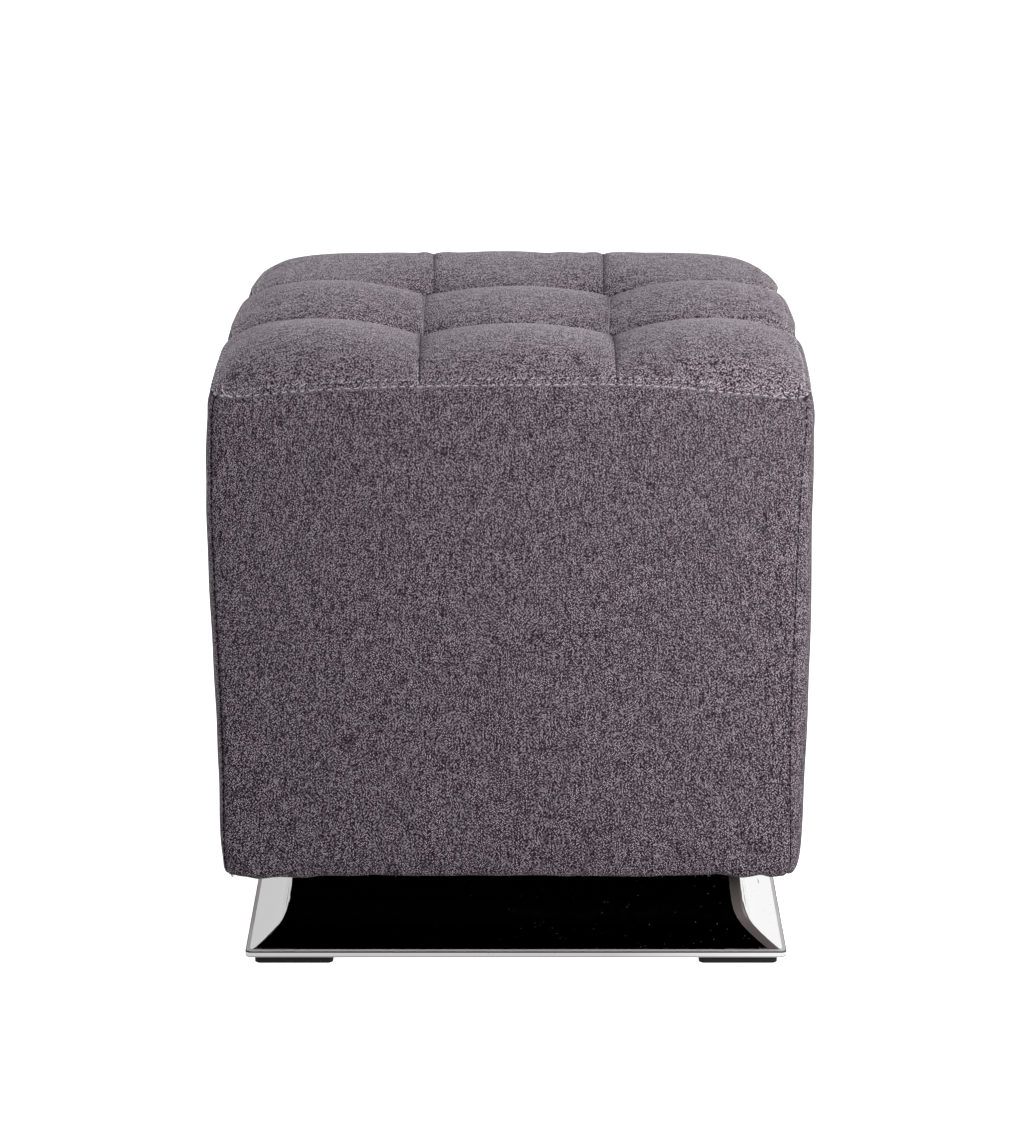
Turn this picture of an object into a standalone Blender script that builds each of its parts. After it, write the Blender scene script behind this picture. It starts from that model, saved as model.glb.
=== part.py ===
"""Cube pouf stool: a quilted, cloth-covered cube on a flared chrome plinth.

Metres, +Z up. The origin is on the floor, under the middle of the cube. The front faces -Y.
The cover is five padded pieces: a quilted top and four sides, which meet in mitred seams.
"""

import math

import bmesh
import bpy

# ---------------------------------------------------------------- driving dimensions

GAP = 0.0003              # clearance between two pieces that touch
MITRE_DROP = 1.5 * GAP    # the same clearance across a sloping mitre, measured upright
MITRE_SET_BACK = 0.6 * GAP    # each piece's share of it at an upright mitre

HEM_Z = 0.0720            # underside of the cube, where the hem is turned under
PAD_THICKNESS = 0.0270    # filled side, from its cloth face to its inner face
TOP_UNDERSIDE_Z = 0.4120  # inner face of the filled top
SIDE_CROWN = 0.0010       # how far the middle of a side stands out from its ends

# Distance of each cloth face from the middle of the cube, by share of the way
# from the hem (0) to the border seam of the top (1). The left and right faces
# run in a little towards the back.
SECTIONS = (
    # share, front, right, back, left
    (0.000, 0.2045, 0.2080, 0.2045, 0.2080),
    (0.009, 0.2072, 0.2110, 0.2072, 0.2112),
    (0.055, 0.2080, 0.2133, 0.2080, 0.2122),
    (0.190, 0.2084, 0.2152, 0.2084, 0.2127),
    (0.320, 0.2088, 0.2158, 0.2088, 0.2130),
    (0.500, 0.2090, 0.2165, 0.2090, 0.2148),
    (0.690, 0.2090, 0.2156, 0.2090, 0.2165),
    (0.820, 0.2088, 0.2152, 0.2088, 0.2160),
    (0.930, 0.2084, 0.2154, 0.2084, 0.2147),
    (0.975, 0.2072, 0.2142, 0.2072, 0.2132),
    (1.000, 0.2050, 0.2118, 0.2050, 0.2108),
)
BACK_TAPER = {"front": 0.0, "right": 0.0070, "back": 0.0, "left": 0.0115}
TAPER_POWER = 1.5             # the running in grows towards the back

# Where each upright seam lies on its rounded corner: degrees from the first side's
# face towards the second side's face, at the hem, half way up and at the top. Then
# the height of the seam's top end, and the corner's radius in plan, low and at the top.
CORNERS = (
    # first side, second side, hem, half way, top, top end height, radius, top radius
    ("front", "right", 25.0, 4.0, 37.0, 0.4350, 0.0110, 0.0120),
    ("right", "back", 45.0, 45.0, 45.0, 0.4370, 0.0140, 0.0360),
    ("back", "left", 45.0, 45.0, 45.0, 0.4370, 0.0140, 0.0260),
    ("left", "front", 34.0, 57.0, 47.0, 0.4390, 0.0110, 0.0120),
)
STRAIGHT_SEAM = (0.25, 0.85)  # shares of the height between which a seam keeps its half way place
ROUNDER_FROM = 0.70           # share of the height above which the corners grow rounder

# Height of each border seam half way along its side.
BORDER_MIDDLE_Z = {"front": 0.4452, "right": 0.4480, "back": 0.4440, "left": 0.4455}

# How far the quilting draws in the border seam at the end of each channel.
BORDER_DRAW = {"front": 0.0012, "right": 0.0040, "back": 0.0012, "left": 0.0040}
BORDER_DRAW_REACH = 0.0140    # how far along the seam this is felt
DRAWN_FROM = 0.90             # and the share of the height above which it is

QUILT_X = (-0.0645, 0.0747)   # channels that run from front to back
QUILT_Y = (-0.0683, 0.0683)   # channels that run from left to right
CREST_Z = (
    # left, middle, right column
    (0.4680, 0.4662, 0.4686),  # front row
    (0.4684, 0.4624, 0.4684),  # middle row
    (0.4558, 0.4570, 0.4560),  # back row
)
CROSSING_DEPTH = 0.0220       # crest to the stitched crossing of two channels
CROSS_CHANNEL_DEPTH = 0.0100  # crest to a channel from left to right, half way along a cell
LONG_CHANNEL_DEPTH = (0.0100, 0.0100, 0.0045)  # front to back ones, in each row of cells
SHOULDER_WIDTH = 0.0620       # width of the top's rounded shoulder
SHOULDER_FULLNESS = 0.75      # 0.5 for a quarter ellipse, 1 for a parabola

# Shares of a cell's width at which the cloth's grid has a line.
CELL_STEPS = (0.0, 0.03, 0.09, 0.20, 0.35, 0.50, 0.65, 0.80, 0.91, 0.97)
ARC_STEPS = 2                 # grid lines between an upright seam and the flat side

BOARD_THICKNESS = 0.0150

PLINTH_X = 0.0042             # the plinth sits a little to the right of the cube
SHEET = 0.0015                # thickness of the pressed plinth sheet
PLINTH_PROFILE = (
    # half width, height: the outer face from the board down to the rim
    (0.1667, HEM_Z - GAP),
    (0.1685, 0.0530),
    (0.1699, 0.0425),
    (0.1714, 0.0345),
    (0.1735, 0.0290),
    (0.1765, 0.0246),
    (0.1810, 0.0205),
    (0.1865, 0.0168),
    (0.1925, 0.0133),
    (0.1965, 0.0113),
    (0.1997, 0.0108),
    (0.2006, 0.0098),
)
RIM_FOOT_Z = 0.0058           # underside of the rim and of its return flange
RIM_ROUNDING = 0.0008
FLANGE_WIDTH = 0.0640         # the flange is turned in under the rim
PLINTH_CORNER = 0.0035        # rounding of the plinth's upright edges, in plan

FOOT_WIDTH = 0.0580
FOOT_INSET_X = 0.0070         # from the side of the rim to the pad
FOOT_INSET_Y = 0.0030         # from the front or back of the rim to the pad
FOOT_CORNER = 0.0030
FOOT_BEVEL = 0.0008

# ---------------------------------------------------------------- plan of the cube

SIDES = ("front", "right", "back", "left")
OUTWARD = {"front": (0, -1), "right": (1, 0), "back": (0, 1), "left": (-1, 0)}
ALONG = {"front": (1, 0), "right": (0, 1), "back": (-1, 0), "left": (0, -1)}


def blend(start, end, share):
    """The value part of the way from start to end."""
    return start + (end - start) * share


def shift(point, direction, distance):
    """A plan point moved some way along a plan direction."""
    return (point[0] + direction[0] * distance, point[1] + direction[1] * distance)


def channels_along(side):
    """Where the quilting channels end on a side, measured along it."""
    crossed = QUILT_X if side in ("front", "back") else QUILT_Y
    sense = sum(ALONG[side])
    return sorted(sense * place for place in crossed)


def face_distance(side, level, neighbour):
    """Distance of a side's cloth from the middle, where it meets a neighbour."""
    distance = SECTIONS[level][1 + SIDES.index(side)]
    return distance - BACK_TAPER[side] if neighbour == "back" else distance


def corner_radius(corner, level):
    """Radius in plan of a corner's cloth, at one row of SECTIONS."""
    share = max(0.0, (SECTIONS[level][0] - ROUNDER_FROM) / (1.0 - ROUNDER_FROM))
    return blend(corner[6], corner[7], share ** 2)


def corner_centre(corner, level):
    """Plan point about which a corner's cloth is rounded."""
    first, second = corner[:2]
    radius = corner_radius(corner, level)
    centre = shift((0.0, 0.0), OUTWARD[first], face_distance(first, level, second) - radius)
    return shift(centre, OUTWARD[second], face_distance(second, level, first) - radius)


def seam_angle(corner, share):
    """Place of an upright seam on its rounded corner, in radians."""
    hem, middle, top = corner[2:5]
    if share < STRAIGHT_SEAM[0]:
        degrees = blend(hem, middle, share / STRAIGHT_SEAM[0])
    elif share > STRAIGHT_SEAM[1]:
        degrees = blend(middle, top, (share - STRAIGHT_SEAM[1]) / (1.0 - STRAIGHT_SEAM[1]))
    else:
        degrees = middle
    return math.radians(degrees)


def corner_point(corner, level, angle):
    """A point on a rounded corner, turned by angle from its first side."""
    first, second = corner[:2]
    radius = corner_radius(corner, level)
    point = shift(corner_centre(corner, level), OUTWARD[first], radius * math.cos(angle))
    return shift(point, OUTWARD[second], radius * math.sin(angle))


def side_plan(side, level):
    """Plan points of one side's cloth, from its first upright seam to its second."""
    share = SECTIONS[level][0]
    along = ALONG[side]
    index = SIDES.index(side)
    begin = CORNERS[index - 1]
    finish = CORNERS[index]
    points = []

    start_angle = seam_angle(begin, share)
    for step in range(ARC_STEPS):
        angle = blend(start_angle, math.pi / 2, step / ARC_STEPS)
        points.append(corner_point(begin, level, angle))

    first, last = (
        centre[0] * along[0] + centre[1] * along[1]
        for centre in (corner_centre(begin, level), corner_centre(finish, level))
    )
    near = face_distance(side, level, begin[0])
    far = face_distance(side, level, finish[1])
    marks = [first, *channels_along(side), last]
    places = [blend(low, high, step) for low, high in zip(marks, marks[1:]) for step in CELL_STEPS]
    pull = max(0.0, (share - DRAWN_FROM) / (1.0 - DRAWN_FROM))
    for place in places + [last]:
        run = (place - first) / (last - first)
        eased = run ** TAPER_POWER if far < near else 1.0 - (1.0 - run) ** TAPER_POWER
        distance = blend(near, far, eased) + SIDE_CROWN * 4.0 * run * (1.0 - run)
        for channel in channels_along(side):
            nearness = math.exp(-((place - channel) / BORDER_DRAW_REACH) ** 2)
            distance -= pull * BORDER_DRAW[side] * nearness
        point = shift((0.0, 0.0), OUTWARD[side], distance)
        points.append(shift(point, along, place))

    end_angle = seam_angle(finish, share)
    for step in range(1, ARC_STEPS + 1):
        angle = blend(0.0, end_angle, step / ARC_STEPS)
        points.append(corner_point(finish, level, angle))
    return points


def side_shares(side):
    """How far along the side each of its columns is, from 0 to 1."""
    plan = side_plan(side, MIDDLE)
    along = ALONG[side]
    places = [point[0] * along[0] + point[1] * along[1] for point in plan]
    return [(place - places[0]) / (places[-1] - places[0]) for place in places]


def border_heights(side):
    """Heights of the border seam at each column of a side."""
    index = SIDES.index(side)
    low, high = CORNERS[index - 1][5], CORNERS[index][5]
    bow = BORDER_MIDDLE_Z[side] - (low + high) / 2
    return [blend(low, high, share) + bow * 4.0 * share * (1.0 - share) for share in side_shares(side)]


def border_loop(side):
    """The border seam of the top along one side, as points in space."""
    plan = side_plan(side, len(SECTIONS) - 1)
    return [(x, y, z) for (x, y), z in zip(plan, border_heights(side))]


MIDDLE = len(SECTIONS) // 2                # the row of SECTIONS half way up
INNER_X = SECTIONS[MIDDLE][2] - PAD_THICKNESS   # inner faces of the left and right sides
INNER_Y = SECTIONS[MIDDLE][1] - PAD_THICKNESS   # inner faces of the front and back sides


def inner_corner(index):
    """Plan point where the inner faces of a corner's two sides meet."""
    point = shift((0.0, 0.0), OUTWARD[SIDES[index]], 1.0)
    point = shift(point, OUTWARD[SIDES[(index + 1) % 4]], 1.0)
    return (point[0] * INNER_X, point[1] * INNER_Y)


def inner_loop(side):
    """Plan points of a side's inner face, one for each column."""
    index = SIDES.index(side)
    start, end = inner_corner(index - 1), inner_corner(index)
    return [tuple(blend(a, b, share) for a, b in zip(start, end)) for share in side_shares(side)]


# ---------------------------------------------------------------- meshes and materials


def material(name, colour, roughness, metallic=0.0):
    """A Principled material of one colour."""
    made = bpy.data.materials.new(name)
    made.use_nodes = True
    shader = made.node_tree.nodes["Principled BSDF"]
    shader.inputs["Base Color"].default_value = (*colour, 1.0)
    shader.inputs["Roughness"].default_value = roughness
    shader.inputs["Metallic"].default_value = metallic
    return made


def add_object(name, bm, surface):
    """Put a finished bmesh in the scene as one named piece."""
    bmesh.ops.remove_doubles(bm, verts=bm.verts, dist=1e-7)
    bmesh.ops.recalc_face_normals(bm, faces=bm.faces)
    mesh = bpy.data.meshes.new(name)
    bm.to_mesh(mesh)
    bm.free()
    mesh.shade_smooth()
    mesh.set_sharp_from_angle(angle=math.radians(35))
    mesh.materials.append(surface)
    piece = bpy.data.objects.new(name, mesh)
    bpy.context.collection.objects.link(piece)
    return piece


def join_rows(bm, lower, upper):
    """Quads between two rows of points with the same number of points."""
    for left in range(len(lower) - 1):
        bm.faces.new((lower[left], lower[left + 1], upper[left + 1], upper[left]))


def join_loops(bm, lower, upper):
    """Quads between two closed loops of points."""
    join_rows(bm, lower + lower[:1], upper + upper[:1])


def fan(bm, rim, centre):
    """Triangles from one middle point to a closed rim."""
    middle = bm.verts.new(centre)
    for here, there in zip(rim, rim[1:] + rim[:1]):
        bm.faces.new((here, there, middle))


# ---------------------------------------------------------------- padded sides


def part_at_mitre(point, inner, sense):
    """Draw a point back from the mitre plane through inner, by half the gap."""
    run = (point[0] - inner[0], point[1] - inner[1])
    length = math.hypot(*run)
    away = (-run[1] / length, run[0] / length)
    return shift(point, away, sense * MITRE_SET_BACK)


def add_side(side, surface):
    """One padded side: cloth face, turned hem, mitred ends and a flat inner face."""
    index = SIDES.index(side)
    heights = border_heights(side)
    inner = inner_loop(side)
    bm = bmesh.new()

    cloth = []
    for level, section in enumerate(SECTIONS):
        plan = side_plan(side, level)
        plan[0] = part_at_mitre(plan[0], inner[0], 1.0)
        plan[-1] = part_at_mitre(plan[-1], inner[-1], -1.0)
        tops = [height - MITRE_DROP for height in heights]
        row = [(x, y, blend(HEM_Z, top, section[0])) for (x, y), top in zip(plan, tops)]
        cloth.append([bm.verts.new(point) for point in row])
    for lower, upper in zip(cloth, cloth[1:]):
        join_rows(bm, lower, upper)

    corner_start, corner_end = inner[0], inner[-1]
    inner[0] = shift(corner_start, ALONG[side], GAP)
    inner[-1] = shift(corner_end, ALONG[side], -GAP)
    low_z, high_z = HEM_Z, TOP_UNDERSIDE_Z - MITRE_DROP
    bottom = [bm.verts.new((x, y, low_z)) for x, y in inner]
    top = [bm.verts.new((x, y, high_z)) for x, y in inner]
    join_rows(bm, cloth[0], bottom)
    join_rows(bm, cloth[-1], top)

    ends = []
    for column in (0, -1):
        between = [section[0] for section in SECTIONS[1:-1]]
        x, y = inner[column]
        rise = [bm.verts.new((x, y, blend(low_z, high_z, share))) for share in between]
        line = [bottom[column], *rise, top[column]]
        join_rows(bm, [row[column] for row in cloth], line)
        ends.append(line)
    rim = bottom + ends[1][1:-1] + top[::-1] + ends[0][-2:0:-1]
    middle = shift((0.0, 0.0), OUTWARD[side], INNER_Y if index % 2 == 0 else INNER_X)
    fan(bm, rim, (*middle, (low_z + high_z) / 2))
    return add_object(side + "_panel", bm, surface)


# ---------------------------------------------------------------- quilted top


def cell_of(place, channels, edges):
    """The cell that a place falls in, and its place there from -1 to 1."""
    marks = [edges[0], *channels, edges[1]]
    cell = sum(place > channel for channel in channels)
    low, high = marks[cell], marks[cell + 1]
    return cell, 2.0 * (place - low) / (high - low) - 1.0


def swell(cell, local):
    """Rise of the filling across a cell: 0 at a channel, 1 in the middle or at a border."""
    if (cell == 0 and local < 0.0) or (cell == 2 and local > 0.0):
        return 1.0
    return max(0.0, 1.0 - local * local)


def between_cells(values, cell, local):
    """A value eased from the middle of one cell to the middle of the next."""
    place = min(max(cell + local / 2, 0.0), 2.0)
    low = min(int(place), 1)
    step = place - low
    return blend(values[low], values[low + 1], step * step * (3.0 - 2.0 * step))


def quilted_height(x, y, edges_x, edges_y):
    """Height of the filling at a plan point, before the shoulders bring it down."""
    column, local_x = cell_of(x, QUILT_X, edges_x)
    row, local_y = cell_of(y, QUILT_Y, edges_y)
    rise_x, rise_y = swell(column, local_x), swell(row, local_y)
    crest = between_cells([between_cells(line, column, local_x) for line in CREST_Z], row, local_y)
    long_depth = between_cells(LONG_CHANNEL_DEPTH, row, local_y)
    return (crest - CROSSING_DEPTH * (1.0 - rise_x) * (1.0 - rise_y)
            - long_depth * (1.0 - rise_x) * rise_y
            - CROSS_CHANNEL_DEPTH * rise_x * (1.0 - rise_y))


def shoulder(distance):
    """Share of the crown reached at some distance in from the border seam."""
    share = min(max(distance / SHOULDER_WIDTH, 0.0), 1.0)
    return (1.0 - (1.0 - share) ** 2) ** SHOULDER_FULLNESS


def patch(front, back, left, right, u, v, column, row):
    """A point of the flat patch that spans the four border seams."""
    point = []
    for axis in range(3):
        value = blend(front[column][axis], back[column][axis], v)
        value += blend(left[row][axis], right[row][axis], u)
        value -= blend(blend(front[0][axis], front[-1][axis], u),
                       blend(back[0][axis], back[-1][axis], u), v)
        point.append(value)
    return point


def add_top(surface):
    """The quilted top: crowned cells above, mitred border, flat underneath."""
    front = border_loop("front")
    right = border_loop("right")
    back = border_loop("back")[::-1]
    left = border_loop("left")[::-1]
    across = side_shares("front")
    along = side_shares("right")
    bm = bmesh.new()
    rows = []
    for row, v in enumerate(along):
        points = []
        for column, u in enumerate(across):
            x, y, z = patch(front, back, left, right, u, v, column, row)
            west, east = left[row][0], right[row][0]
            south, north = front[column][1], back[column][1]
            height = quilted_height(x, y, (west, east), (south, north))
            crown = shoulder(min(x - west, east - x)) * shoulder(min(y - south, north - y))
            points.append(bm.verts.new((x, y, blend(z, height, crown))))
        rows.append(points)
    for lower, upper in zip(rows, rows[1:]):
        join_rows(bm, lower, upper)

    border = rows[0][:-1] + [row[-1] for row in rows[:-1]]
    border += rows[-1][:0:-1] + [row[0] for row in rows[:0:-1]]
    plan = [point for side in SIDES for point in inner_loop(side)[:-1]]
    under = [bm.verts.new((x, y, TOP_UNDERSIDE_Z)) for x, y in plan]
    join_loops(bm, border, under)
    fan(bm, under, (0.0, 0.0, TOP_UNDERSIDE_Z))
    return add_object("quilted_top", bm, surface)


# ---------------------------------------------------------------- board, plinth and feet


def rounded_square(half_x, half_y, radius, z, centre=(0.0, 0.0), steps=3):
    """A closed loop of points: a rectangle with rounded corners."""
    loop = []
    for turn, (sx, sy) in enumerate(((1, 1), (-1, 1), (-1, -1), (1, -1))):
        for step in range(steps + 1):
            angle = math.radians(90.0 * (turn + step / steps))
            x = centre[0] + sx * (half_x - radius) + radius * math.cos(angle)
            y = centre[1] + sy * (half_y - radius) + radius * math.sin(angle)
            loop.append((x, y, z))
    return loop


def stack_loops(bm, loops):
    """A closed solid skinned over a stack of loops, capped at both ends."""
    rings = [[bm.verts.new(point) for point in loop] for loop in loops]
    for lower, upper in zip(rings, rings[1:]):
        join_loops(bm, lower, upper)
    bm.faces.new(rings[0])
    bm.faces.new(rings[-1])


def add_board(surface):
    """The board that closes the underside, inside the turned hem."""
    half_x, half_y = INNER_X - GAP, INNER_Y - GAP
    loops = [rounded_square(half_x, half_y, GAP, z, steps=1)
             for z in (HEM_Z, HEM_Z + BOARD_THICKNESS)]
    bm = bmesh.new()
    stack_loops(bm, loops)
    return add_object("bottom_board", bm, surface)


def inside_profile():
    """The plinth's outer profile, moved in by the sheet's thickness."""
    inner = []
    for index in range(1, len(PLINTH_PROFILE) - 1):
        before, here, after = PLINTH_PROFILE[index - 1:index + 2]
        run = (after[0] - before[0], after[1] - before[1])
        length = math.hypot(*run)
        inner.append((here[0] + run[1] / length * SHEET, here[1] - run[0] / length * SHEET))
    return inner


def add_plinth(surface):
    """A pressed tray, upside down: plate, flared walls, rim and return flange."""
    rim, rim_top = PLINTH_PROFILE[-1]
    flange_edge = rim - FLANGE_WIDTH
    section = list(PLINTH_PROFILE)
    section.append((rim, RIM_FOOT_Z + RIM_ROUNDING))
    section.append((rim - RIM_ROUNDING, RIM_FOOT_Z))
    section.append((flange_edge, RIM_FOOT_Z))
    section.append((flange_edge, RIM_FOOT_Z + SHEET))
    section.append((rim - SHEET, RIM_FOOT_Z + SHEET))
    section.append((rim - SHEET, rim_top - SHEET))
    section += inside_profile()[:0:-1]
    section.append((PLINTH_PROFILE[0][0] - SHEET, PLINTH_PROFILE[0][1] - SHEET))
    loops = [rounded_square(half, half, PLINTH_CORNER, z, (PLINTH_X, 0.0)) for half, z in section]
    bm = bmesh.new()
    stack_loops(bm, loops)
    return add_object("plinth", bm, surface)


def add_foot(name, sense_x, sense_y, surface):
    """A flat pad under one corner of the flange."""
    reach = PLINTH_PROFILE[-1][0] - FOOT_WIDTH / 2
    half = FOOT_WIDTH / 2
    centre = (PLINTH_X + sense_x * (reach - FOOT_INSET_X), sense_y * (reach - FOOT_INSET_Y))
    top = RIM_FOOT_Z - GAP
    loops = [
        rounded_square(half - FOOT_BEVEL, half - FOOT_BEVEL, FOOT_CORNER, 0.0, centre),
        rounded_square(half, half, FOOT_CORNER, FOOT_BEVEL, centre),
        rounded_square(half, half, FOOT_CORNER, top, centre),
    ]
    bm = bmesh.new()
    stack_loops(bm, loops)
    return add_object(name, bm, surface)


# ---------------------------------------------------------------- the stool


def build():
    """Make every piece of the stool in an empty scene."""
    for old in list(bpy.data.objects):
        bpy.data.objects.remove(old, do_unlink=True)

    cloth_colour = (0.150, 0.131, 0.142)
    add_top(material("seat cloth", cloth_colour, 0.92))
    for side in SIDES:
        add_side(side, material(side + " cloth", cloth_colour, 0.92))
    add_board(material("board", (0.020, 0.020, 0.021), 0.80))
    add_plinth(material("chrome", (0.780, 0.780, 0.790), 0.06, 1.0))
    for front_back, sense_y in (("front", -1), ("back", 1)):
        for left_right, sense_x in (("left", -1), ("right", 1)):
            name = "_".join(("foot", front_back, left_right))
            add_foot(name, sense_x, sense_y, material(name + " pad", (0.015, 0.015, 0.016), 0.60))


build()
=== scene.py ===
"""Looks of the cube pouf stool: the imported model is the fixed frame, and each piece is dressed in turn.

Metres, +Z up. The origin is on the floor, under the middle of the cube. The front faces -Y.
"""

import math

import bpy
import numpy as np
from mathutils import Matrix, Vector
from mathutils.bvhtree import BVHTree
from mathutils.kdtree import KDTree


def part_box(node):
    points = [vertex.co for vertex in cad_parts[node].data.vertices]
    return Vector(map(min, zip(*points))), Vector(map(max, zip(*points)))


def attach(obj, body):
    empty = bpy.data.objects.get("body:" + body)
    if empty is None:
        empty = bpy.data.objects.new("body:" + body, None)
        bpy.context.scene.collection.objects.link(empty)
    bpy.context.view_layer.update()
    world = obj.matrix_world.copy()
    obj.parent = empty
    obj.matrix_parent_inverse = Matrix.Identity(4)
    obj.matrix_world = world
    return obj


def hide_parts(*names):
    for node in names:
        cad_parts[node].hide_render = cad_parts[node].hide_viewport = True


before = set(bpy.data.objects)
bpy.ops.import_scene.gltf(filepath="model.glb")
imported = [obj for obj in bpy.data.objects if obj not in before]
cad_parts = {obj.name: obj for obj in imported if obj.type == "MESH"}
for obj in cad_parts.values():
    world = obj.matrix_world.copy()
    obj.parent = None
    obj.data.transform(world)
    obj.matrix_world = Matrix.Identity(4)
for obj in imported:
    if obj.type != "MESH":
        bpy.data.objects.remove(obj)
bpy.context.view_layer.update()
bpy.ops.object.select_all(action="DESELECT")
scene = bpy.context.scene

# ---------------------------------------------------------------- camera
# One camera at the photograph's height and angle: about 2.3 m in front of the stool, looking
# down on it. Its lens is worked out from the picture's scale.

PICTURE_HEIGHT = 1134.0      # pixels
FOCAL_PIXELS = 3430.0        # focal length, in the picture's pixels
FRAME_SHIFT = 6.0            # pixels that the lens axis lies right of the picture's middle
LOOK_DOWN = 17.8             # degrees
SENSOR = 36.0                # mm, along the picture's long side
CAMERA_PLACE = (0.0042, -2.5287, 1.057)
SIGHT = 60.0                 # how far the camera sees, past the far edge of the floor

bpy.ops.object.camera_add(location=CAMERA_PLACE, rotation=(math.radians(90.0 - LOOK_DOWN), 0.0, 0.0))
camera = bpy.context.object
camera.name = "camera"
camera.data.sensor_width = SENSOR
camera.data.lens = SENSOR * FOCAL_PIXELS / PICTURE_HEIGHT
camera.data.shift_x = -FRAME_SHIFT / PICTURE_HEIGHT
camera.data.clip_end = SIGHT
scene.camera = camera
scene.view_settings.view_transform = "Standard"

# ---------------------------------------------------------------- studio
# A plain white floor runs past the edge of the picture. One soft light stands at the front right,
# one hangs behind the stool and a weak one stands at the left. Boards that only mirrors see stand
# for the pale room, and black ones for the dark in front of the stool.

FLOOR_SIZE = 40.0
FLOOR_GLOW = 1.00            # the floor is lit from within, as a photographer's light table is
ROOM_LIGHT = 0.06
LIGHTS = (
    # name, place, the point that it faces, size, watts, whether mirrors see it
    ("key_light", (0.95, -1.05, 0.75), (0.0, 0.0, 0.25), 0.55, 15.8, True),
    ("back_light", (0.20, 1.90, 2.20), (0.0, 0.0, 0.40), 1.10, 29.0, True),
    ("fill_light", (-1.60, 0.00, 0.40), (0.0, 0.0, 0.25), 1.20, 14.0, False),
)
GREY_ROOM = 0.62             # how bright mirrors see the room, on the left
WHITE_ROOM = 1.0             # and on the right
ROOM_STEP = 8.0              # the grey turns to white from 0.075 to 0.2 m right of the middle
ROOM_STEP_START = 0.6
NEAR_BLACK, FAR_BLACK = -0.30, -0.62    # from the edge of the black cloth to the black board
BOARDS = (
    # name, lowest corner, highest corner, whether it is black
    ("mirrored_walls", (-4.0, -4.0, -0.5), (4.0, 4.0, 6.0), False),
    ("mirrored_floor", (-3.0, -3.0, -0.02), (3.0, 3.0, -0.001), False),
    ("black_floor", (-1.5, FAR_BLACK, -0.001), (1.5, NEAR_BLACK, 0.001), True),
    ("black_board", (-1.5, FAR_BLACK - 0.01, 0.0), (1.5, FAR_BLACK, 3.0), True),
    ("black_shelf", (-1.5, FAR_BLACK, 0.0690), (1.5, -0.1685, 0.0700), True),
)


class Wire:
    """One value inside a material, with Python's arithmetic on it."""

    def __init__(self, finish, socket):
        self.finish = finish
        self.socket = socket

    def math(self, operation, *values):
        inputs = dict(enumerate((self, *values)))
        return self.finish.node("ShaderNodeMath", {"operation": operation}, inputs)

    def __add__(self, other):
        return self.math("ADD", other)

    def __sub__(self, other):
        return self.math("SUBTRACT", other)

    def __rsub__(self, other):
        return self * -1.0 + other

    def __mul__(self, other):
        return self.math("MULTIPLY", other)

    def __pow__(self, other):
        return self.math("POWER", other)

    __radd__ = __add__
    __rmul__ = __mul__


class Finish:
    """A material being made: its nodes feed one Principled shader."""

    def __init__(self, name, constants):
        self.material = bpy.data.materials.new(name)
        self.material.use_nodes = True
        self.tree = self.material.node_tree
        self.shader = self.tree.nodes["Principled BSDF"]
        for socket, value in constants.items():
            self.shader.inputs[socket].default_value = value

    def node(self, kind, settings, inputs, output=0):
        """Any node: its type, its settings, then the values or links of its sockets."""
        made = self.tree.nodes.new(kind)
        for setting, value in settings.items():
            setattr(made, setting, value)
        for socket, value in inputs.items():
            if isinstance(value, Wire):
                self.tree.links.new(value.socket, made.inputs[socket])
            else:
                made.inputs[socket].default_value = value
        return Wire(self, made.outputs[output])

    def noise(self, vector, scale, detail=2.0, roughness=0.5):
        inputs = {"Vector": vector, "Scale": scale, "Detail": detail, "Roughness": roughness}
        return self.node("ShaderNodeTexNoise", {}, inputs)

    def mix(self, factor, first, second):
        """A colour part of the way from the first to the second."""
        inputs = {0: factor, 6: first, 7: second}
        return self.node("ShaderNodeMix", {"data_type": "RGBA"}, inputs, output=2)

    def place(self):
        """The point of the piece that is being shaded, in metres."""
        return self.node("ShaderNodeTexCoord", {}, {}, output=3)

    def part(self, vector, axis):
        """One coordinate of a point, counted from 0."""
        return self.node("ShaderNodeSeparateXYZ", {}, {0: vector}, output=axis)

    def point(self, x, y, z):
        return self.node("ShaderNodeCombineXYZ", {}, {0: x, 1: y, 2: z})

    def bump(self, height, distance, strength):
        inputs = {"Height": height, "Distance": distance, "Strength": strength}
        self.set("Normal", self.node("ShaderNodeBump", {}, inputs))

    def set(self, socket, wire):
        self.tree.links.new(wire.socket, self.shader.inputs[socket])


def floor_finish():
    """Matt white paint, a little uneven."""
    glow = {"Roughness": 0.85, "Emission Color": (1.0, 1.0, 1.0, 1.0), "Emission Strength": FLOOR_GLOW}
    finish = Finish("floor_white", glow)
    patches = finish.noise(finish.place(), 1.7)
    finish.set("Base Color", finish.mix(patches, (0.93, 0.93, 0.93, 1.0), (0.96, 0.96, 0.96, 1.0)))
    return finish.material


def glow_finish(name, left, right):
    """Even light, of one strength on the left and another on the right."""
    constants = {"Base Color": (0.0, 0.0, 0.0, 1.0), "Specular IOR Level": 0.0, "Emission Strength": 1.0}
    finish = Finish(name, constants)
    across = finish.part(finish.place(), 0)
    share = (across * ROOM_STEP - ROOM_STEP_START).math("MINIMUM", 1.0).math("MAXIMUM", 0.0)
    finish.set("Emission Color", finish.mix(share, (left, left, left, 1.0), (right, right, right, 1.0)))
    return finish.material


def softbox(name, place, target, size, watts, mirrored):
    """A square area light that faces a point."""
    turn = (Vector(target) - Vector(place)).to_track_quat("-Z", "Y").to_euler()
    bpy.ops.object.light_add(type="AREA", location=place, rotation=turn)
    light = bpy.context.object
    light.name = name
    light.data.size = size
    light.data.energy = watts
    light.visible_glossy = mirrored


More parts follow.
